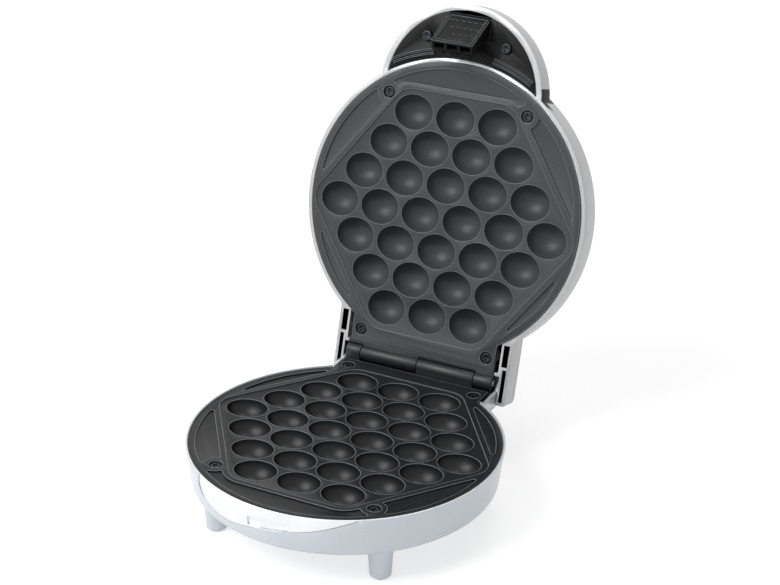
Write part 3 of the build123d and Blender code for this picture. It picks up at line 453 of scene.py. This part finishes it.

# %% [markdown]
# Fine bright lines run round every cell, round the shallow field and along the ridges: a
# painted highlight, coloured lighter than the coating, on a narrow rounded rim. They follow
# the casting's own edges, so a node tree finds them: it takes the edges that are sharp enough
# and lie near the cooking face, turns them into curves and runs a fine round bead along them.
# The same tree serves both plates, with the face's place and direction as inputs.

# %% Node tree for the rim beads
def rim_tree():
    """A round bead along a casting's own sharp edges, near one face of it."""
    tree = bpy.data.node_groups.new("Rim beads", "GeometryNodeTree")
    sockets = tree.interface
    sockets.new_socket("Geometry", in_out="OUTPUT", socket_type="NodeSocketGeometry")
    sockets.new_socket("Plate", in_out="INPUT", socket_type="NodeSocketGeometry")
    sockets.new_socket("Face point", in_out="INPUT", socket_type="NodeSocketVector")
    sockets.new_socket("Face direction", in_out="INPUT", socket_type="NodeSocketVector")
    for name in ("Deepest", "Least angle", "Bead radius", "Sunk"):
        sockets.new_socket(name, in_out="INPUT", socket_type="NodeSocketFloat")
    sockets.new_socket("Finish", in_out="INPUT", socket_type="NodeSocketMaterial")
    given = add(tree, "NodeGroupInput").outputs
    bend = add(tree, "GeometryNodeInputMeshEdgeAngle")
    sharp = add(tree, "FunctionNodeCompare", {"operation": "GREATER_THAN"},
                {0: bend.outputs["Unsigned Angle"], 1: given["Least angle"]})
    place = add(tree, "GeometryNodeInputPosition")
    away = add(tree, "ShaderNodeVectorMath", {"operation": "SUBTRACT"},
               {0: place.outputs[0], 1: given["Face point"]})
    height = add(tree, "ShaderNodeVectorMath", {"operation": "DOT_PRODUCT"},
                 {0: away.outputs[0], 1: given["Face direction"]})
    depth = add(tree, "ShaderNodeMath", {"operation": "MULTIPLY"},
                {0: height.outputs["Value"], 1: -1.0})
    near = add(tree, "FunctionNodeCompare", {"operation": "LESS_THAN"},
               {0: depth.outputs[0], 1: given["Deepest"]})
    chosen = add(tree, "FunctionNodeBooleanMath", {"operation": "AND"},
                 {0: sharp.outputs[0], 1: near.outputs[0]})
    lines = add(tree, "GeometryNodeMeshToCurve", inputs={
        "Mesh": given["Plate"], "Selection": chosen.outputs[0]})
    down = add(tree, "ShaderNodeMath", {"operation": "MULTIPLY"}, {0: given["Sunk"], 1: -1.0})
    sink = add(tree, "ShaderNodeVectorMath", {"operation": "SCALE"},
               {0: given["Face direction"], "Scale": down.outputs[0]})
    lowered = add(tree, "GeometryNodeSetPosition", inputs={
        "Geometry": lines.outputs[0], "Offset": sink.outputs[0]})
    section = add(tree, "GeometryNodeCurvePrimitiveCircle", inputs={
        "Resolution": 6, "Radius": given["Bead radius"]})
    beads = add(tree, "GeometryNodeCurveToMesh", inputs={
        "Curve": lowered.outputs[0], "Profile Curve": section.outputs[0], "Fill Caps": True})
    real = add(tree, "GeometryNodeRealizeInstances", inputs={"Geometry": beads.outputs[0]})
    coated = add(tree, "GeometryNodeSetMaterial", inputs={
        "Geometry": real.outputs[0], "Material": given["Finish"]})
    add(tree, "NodeGroupOutput", inputs={"Geometry": coated.outputs[0]})
    return tree


def grown(piece, tree, values):
    """Run a node tree on a piece with named inputs, and keep its result as a plain mesh."""
    modifier = piece.modifiers.new(tree.name, "NODES")
    modifier.node_group = tree
    for item in tree.interface.items_tree:
        if item.in_out == "INPUT" and item.name in values:
            modifier[item.identifier] = values[item.name]
    result = evaluated(piece)
    piece.modifiers.clear()
    piece.data = result
    piece.data.shade_smooth()
    return piece


# %% Beads on the plates
BEAD_ANGLE = math.radians(30)
BEAD_SUNK = 0.7
# Depth below the face and bead radius, both in millimetres.
plate_bead = (1.0, 0.26)
panel_bead = (0.7, 0.16)
latch_bead = (1.2, 0.16)
rim_rules = rim_tree()


def beaded(node, point, direction, deepest_mm, radius_mm, finish, slot, mend=None):
    """Beads along a node's sharp edges, down to a depth below its face."""
    beads = grown(welded(node, node + "_beads", mend), rim_rules, {
        "Face point": point, "Face direction": direction, "Deepest": deepest_mm * MM,
        "Least angle": BEAD_ANGLE, "Bead radius": radius_mm * MM,
        "Sunk": BEAD_SUNK * radius_mm * MM, "Finish": finish})
    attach(beads, frame["nodes"][node]["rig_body"])
    print(beads.name, len(beads.data.polygons), "faces")


upwards = Vector((0, 0, 1))
lid_out = opening.to_3x3() @ -upwards
plates_apart = 0.4 * MM
beaded("lower_cooking_plate", Vector(plate_high), upwards, *plate_bead, rim_highlight_paint, "non_stick")
lid_face = opening @ (Vector(plate_high) + upwards * plates_apart)
beaded("upper_cooking_plate", lid_face, lid_out, *plate_bead, rim_highlight_paint, "non_stick")

# %% [markdown]
# The handle panel gets the same fine lines, light grey beads as a painted highlight: along its
# outline and its ribs. The panel is flat and parallel to the plate, 0.4 mm above the lid's rim.

# %% Painted highlight on the edges of the handle panel
panel_from_rim = 0.4 * MM
handle_face = opening @ (hinge + upwards * (rim_above_hinge + panel_from_rim))
beaded("handle_panel", handle_face, lid_out, *panel_bead, edge_highlight_paint, "black_plastic")

# %% [markdown]
# The latch's face leans against the panel. A matrix lays its own flat coordinates on it: X
# across, Y up to the lever's root, Z outwards. It is placed from the pin that the latch turns
# on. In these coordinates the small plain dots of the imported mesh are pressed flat, which
# makes room for finer ones.

# %% Latch face
latch_lean = math.radians(35.3)
root_from_pin = Vector((0, -5.4, -5.7)) * MM
lean_cos, lean_sin = math.cos(latch_lean), math.sin(latch_lean)
across, along, outwards = (1, 0, 0), (0, -lean_sin, lean_cos), (0, -lean_cos, -lean_sin)
latch_axes = Matrix((across, along, outwards)).transposed().to_4x4()
latch_root = closing @ Vector(hinges["latch_hinge"]["pos_m"]) + root_from_pin
on_latch = opening @ Matrix.Translation(latch_root) @ latch_axes
recess_depth = 0.8 * MM
recess_low = Vector((-12.95, -28.55)) * MM
recess_high = Vector((12.95, -1.05)) * MM


def pressed_flat(work):
    """Press what stands on the floor of the latch's recess down onto it."""
    moved = 0
    back = on_latch.inverted()
    for corner in work.verts:
        x, y, z = back @ corner.co
        inside = recess_low.x < x < recess_high.x and recess_low.y < y < recess_high.y
        if inside and -recess_depth + 0.01 * MM < z < 1 * MM:
            corner.co = on_latch @ Vector((x, y, -recess_depth))
            moved += 1
    print(moved, "corners pressed flat")


dressed["latch"] = softened("latch", phenolic, 0.25, pressed_flat)
latch_out = (on_latch.to_3x3() @ upwards).normalized()
beaded("latch", on_latch.translation, latch_out, *latch_bead, edge_highlight_paint, "black_plastic",
       pressed_flat)

# %% [markdown]
# Fingers pull the latch by its grip: three rows of low domes, each with a fine light grey ring
# round its foot as a painted highlight, longer rows nearer to the root. A node tree draws one
# dome with its ring, sets it on the points of each row, and lines the rows up on the right.
# Rows, pitches and sizes are inputs, so another grip is one call away.

# %% Node tree for grip domes
grip_counts = (6, 5, 4)


def grip_tree():
    """Domes with a ring round each foot, in rows that line up on the right."""
    tree = bpy.data.node_groups.new("Grip domes", "GeometryNodeTree")
    sockets = tree.interface
    sockets.new_socket("Geometry", in_out="OUTPUT", socket_type="NodeSocketGeometry")
    for name in ("Dome radius", "Dome height", "Ring bead", "Pitch", "Row pitch",
                 "Last dome", "First row", "Depth"):
        sockets.new_socket(name, in_out="INPUT", socket_type="NodeSocketFloat")
    for name in ("Dome finish", "Ring finish"):
        sockets.new_socket(name, in_out="INPUT", socket_type="NodeSocketMaterial")
    given = add(tree, "NodeGroupInput").outputs
    ball = add(tree, "GeometryNodeMeshUVSphere", inputs={
        "Segments": 20, "Rings": 10, "Radius": given["Dome radius"]})
    squash = add(tree, "ShaderNodeMath", {"operation": "DIVIDE"},
                 {0: given["Dome height"], 1: given["Dome radius"]})
    flat = add(tree, "ShaderNodeCombineXYZ", inputs={"X": 1.0, "Y": 1.0, "Z": squash.outputs[0]})
    dome = add(tree, "GeometryNodeTransform", inputs={
        "Geometry": ball.outputs["Mesh"], "Scale": flat.outputs[0]})
    dome = add(tree, "GeometryNodeSetMaterial", inputs={
        "Geometry": dome.outputs[0], "Material": given["Dome finish"]})
    path = add(tree, "GeometryNodeCurvePrimitiveCircle", inputs={
        "Resolution": 20, "Radius": given["Dome radius"]})
    section = add(tree, "GeometryNodeCurvePrimitiveCircle", inputs={
        "Resolution": 6, "Radius": given["Ring bead"]})
    ring = add(tree, "GeometryNodeCurveToMesh", inputs={
        "Curve": path.outputs["Curve"], "Profile Curve": section.outputs["Curve"]})
    ring = add(tree, "GeometryNodeSetMaterial", inputs={
        "Geometry": ring.outputs[0], "Material": given["Ring finish"]})
    both = add(tree, "GeometryNodeJoinGeometry")
    tree.links.new(dome.outputs[0], both.inputs[0])
    tree.links.new(ring.outputs[0], both.inputs[0])
    rows = add(tree, "GeometryNodeJoinGeometry")
    down = add(tree, "ShaderNodeMath", {"operation": "MULTIPLY"}, {0: given["Depth"], 1: -1.0})
    left = add(tree, "ShaderNodeMath", {"operation": "MULTIPLY"}, {0: given["Pitch"], 1: -1.0})
    step = add(tree, "ShaderNodeCombineXYZ", inputs={"X": left.outputs[0]})
    for row, count in enumerate(grip_counts):
        lower = add(tree, "ShaderNodeMath", {"operation": "MULTIPLY"},
                    {0: given["Row pitch"], 1: -float(row)})
        height = add(tree, "ShaderNodeMath", {"operation": "ADD"},
                     {0: lower.outputs[0], 1: given["First row"]})
        start = add(tree, "ShaderNodeCombineXYZ", inputs={
            "X": given["Last dome"], "Y": height.outputs[0], "Z": down.outputs[0]})
        line = add(tree, "GeometryNodeMeshLine", {"mode": "OFFSET"}, {
            "Count": count, "Start Location": start.outputs[0], "Offset": step.outputs[0]})
        tree.links.new(line.outputs[0], rows.inputs[0])
    placed = add(tree, "GeometryNodeInstanceOnPoints", inputs={
        "Points": rows.outputs[0], "Instance": both.outputs[0]})
    real = add(tree, "GeometryNodeRealizeInstances", inputs={"Geometry": placed.outputs[0]})
    add(tree, "NodeGroupOutput", inputs={"Geometry": real.outputs[0]})
    return tree


def blank(name):
    """An empty piece for a node tree to fill."""
    piece = bpy.data.objects.new(name, bpy.data.meshes.new(name))
    bpy.context.scene.collection.objects.link(piece)
    return piece


# %% Grip domes on the latch
grip = grown(blank("latch_grip"), grip_tree(), {
    "Dome radius": 1.3 * MM, "Dome height": 0.8 * MM, "Ring bead": 0.15 * MM, "Pitch": 4.5 * MM,
    "Row pitch": 7.4 * MM, "Last dome": 11.0 * MM, "First row": -4.2 * MM, "Depth": recess_depth,
    "Dome finish": phenolic, "Ring finish": edge_highlight_paint})
grip.data.transform(on_latch)
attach(grip, "latch")
print("grip of", sum(grip_counts), "domes,", len(grip.data.polygons), "faces")

# %% [markdown]
# The bowl's rim gets a thin bright line, a bead in the trim's finish that is a painted
# highlight. It is a circle that stops at the hinge block behind, so an arc with a round
# section draws it. The arc's ends follow from the hinge block's width.

# %% Node tree for the bowl's rim line
def arc_tree():
    """A round bead along an arc."""
    tree = bpy.data.node_groups.new("Rim line", "GeometryNodeTree")
    sockets = tree.interface
    sockets.new_socket("Geometry", in_out="OUTPUT", socket_type="NodeSocketGeometry")
    for name in ("Radius", "Start", "Sweep", "Bead radius"):
        sockets.new_socket(name, in_out="INPUT", socket_type="NodeSocketFloat")
    sockets.new_socket("Centre", in_out="INPUT", socket_type="NodeSocketVector")
    sockets.new_socket("Finish", in_out="INPUT", socket_type="NodeSocketMaterial")
    given = add(tree, "NodeGroupInput").outputs
    arc = add(tree, "GeometryNodeCurveArc", inputs={
        "Resolution": 160, "Radius": given["Radius"],
        "Start Angle": given["Start"], "Sweep Angle": given["Sweep"]})
    section = add(tree, "GeometryNodeCurvePrimitiveCircle", inputs={
        "Resolution": 8, "Radius": given["Bead radius"]})
    bead = add(tree, "GeometryNodeCurveToMesh", inputs={
        "Curve": arc.outputs["Curve"], "Profile Curve": section.outputs["Curve"], "Fill Caps": True})
    placed = add(tree, "GeometryNodeTransform", inputs={
        "Geometry": bead.outputs[0], "Translation": given["Centre"]})
    real = add(tree, "GeometryNodeRealizeInstances", inputs={"Geometry": placed.outputs[0]})
    coated = add(tree, "GeometryNodeSetMaterial", inputs={
        "Geometry": real.outputs[0], "Material": given["Finish"]})
    add(tree, "NodeGroupOutput", inputs={"Geometry": coated.outputs[0]})
    return tree


# %% Bowl rim line
rim_radius = 102.8 * MM
rim_height = 49.9 * MM
hinge_block_half = 58.6 * MM
line_inset = 0.75 * MM
line_bead = 0.3 * MM
gap_past_block = 0.5 * MM
line_radius = rim_radius - line_inset
gap_angle = math.asin((hinge_block_half + gap_past_block) / line_radius)
line_centre = Vector((0, plate_middle_y, rim_height - line_bead / 2))
# A bright bead along the bowl's rim as a painted highlight.
rim_line = grown(blank("bowl_rim_painted_highlight"), arc_tree(), {
    "Radius": line_radius, "Start": math.pi / 2 + gap_angle, "Sweep": 2 * math.pi - 2 * gap_angle,
    "Bead radius": line_bead, "Centre": line_centre, "Finish": trim})
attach(rim_line, "base")
print("rim line", len(rim_line.data.polygons), "faces")

# %% [markdown]
# The camera stands to the right of the handle side and a little above, with a long lens. Its
# place and angles were worked out from the plate's rim, the rows of cells and the hinge line.

# %% Camera
camera_place = Vector((0.5189, -1.02389, 0.6666))
camera_azimuth = math.radians(26.525)
camera_drop = math.radians(24.870)
camera_roll = math.radians(0.98)
camera_lens = 90.72
camera_sensor = 36.0
camera_reach = 20.0

forward = Vector((-math.sin(camera_azimuth) * math.cos(camera_drop),
                  math.cos(camera_azimuth) * math.cos(camera_drop), -math.sin(camera_drop)))
level = forward.cross(Vector((0, 0, 1))).normalized()
upright = level.cross(forward)
right = level * math.cos(camera_roll) + upright * math.sin(camera_roll)
up = upright * math.cos(camera_roll) - level * math.sin(camera_roll)
turn = Matrix((right, up, -forward)).transposed().to_4x4()
lens = bpy.data.cameras.new("Camera")
lens.lens = camera_lens
lens.sensor_width = camera_sensor
lens.clip_end = camera_reach
camera = bpy.data.objects.new("Camera", lens)
camera.matrix_world = Matrix.Translation(camera_place) @ turn
bpy.context.scene.collection.objects.link(camera)
bpy.context.scene.camera = camera
print("camera at", tuple(round(v, 3) for v in camera_place))

# %% [markdown]
# The studio is plain: a pale floor, a white surround and two broad soft lamps. The surround
# looks white to the camera, in reflections and through clear pieces. It lights the object only
# gently, more from the left than from the right, which rounds the bowl and the lid.


# %% Floor, surround and lamps
FLOOR_GLOW = 0.66
LIGHT_FROM_LEFT, LIGHT_FROM_RIGHT = 0.5, 0.18
SEEN_WHITE = 1.0


def floor_material():
    """A dull pale floor that looks white to the camera but keeps the object's shadow."""
    material, tree, shader = start_material("pale studio floor")
    tinted(tree, shader, grain(tree, 40.0, 2.0), "#bdbdbd", "#c2c2c2")
    shader.inputs["Roughness"].default_value = 0.9
    path = add(tree, "ShaderNodeLightPath")
    seen = add(tree, "ShaderNodeMath", {"operation": "MAXIMUM"},
               {0: path.outputs["Is Camera Ray"], 1: path.outputs["Is Glossy Ray"]})
    glow = add(tree, "ShaderNodeMath", {"operation": "MULTIPLY"}, {0: seen.outputs[0], 1: FLOOR_GLOW})
    tree.links.new(glow.outputs[0], shader.inputs["Emission Strength"])
    shader.inputs["Emission Color"].default_value = (1, 1, 1, 1)
    return material


floor_mesh = bpy.data.meshes.new("Floor")
reach = 6.0
corners = [(-reach, -reach, 0), (reach, -reach, 0), (reach, reach, 0), (-reach, reach, 0)]
floor_mesh.from_pydata(corners, [], [(0, 1, 2, 3)])
floor = bpy.data.objects.new("Floor", floor_mesh)
floor_mesh.materials.append(floor_material())
bpy.context.scene.collection.objects.link(floor)

world = bpy.data.worlds.new("Surround")
bpy.context.scene.world = world
world.use_nodes = True
tree = world.node_tree
tree.nodes.clear()
path = add(tree, "ShaderNodeLightPath")
seen = add(tree, "ShaderNodeMath", {"operation": "MAXIMUM"},
           {0: path.outputs["Is Camera Ray"], 1: path.outputs["Is Glossy Ray"]})
seen = add(tree, "ShaderNodeMath", {"operation": "MAXIMUM"},
           {0: seen.outputs[0], 1: path.outputs["Is Transmission Ray"]})
toward = add(tree, "ShaderNodeSeparateXYZ", inputs={0: add(tree, "ShaderNodeTexCoord").outputs["Generated"]})
soft_light = add(tree, "ShaderNodeMapRange", inputs={
    "Value": toward.outputs["X"], "From Min": -0.6, "From Max": 0.9,
    "To Min": LIGHT_FROM_LEFT, "To Max": LIGHT_FROM_RIGHT})
strength = add(tree, "ShaderNodeMapRange", inputs={
    "Value": seen.outputs[0], "To Min": soft_light.outputs["Result"], "To Max": SEEN_WHITE})
surround = add(tree, "ShaderNodeBackground", inputs={
    "Color": (1, 1, 1, 1), "Strength": strength.outputs["Result"]})
add(tree, "ShaderNodeOutputWorld", inputs={"Surface": surround.outputs["Background"]})


def soft_lamp(name, place, size, watts):
    """A square area lamp aimed at the object's middle."""
    lamp = bpy.data.lights.new(name, "AREA")
    lamp.shape = "SQUARE"
    lamp.size = size
    lamp.energy = watts
    holder = bpy.data.objects.new(name, lamp)
    direction = lamp_aim - Vector(place)
    aimed = direction.to_track_quat("-Z", "Y").to_matrix().to_4x4()
    holder.matrix_world = Matrix.Translation(place) @ aimed
    bpy.context.scene.collection.objects.link(holder)


lamp_aim = Vector((0, 0, 0.12))
soft_lamp("Key", (-0.8, -1.1, 1.45), 1.1, 28)
soft_lamp("Top", (0.1, 0.4, 1.7), 0.7, 6)

# %% [markdown]
# The colours reach the screen as they are, without a film look.

# %% View
bpy.context.scene.view_settings.view_transform = "Standard"
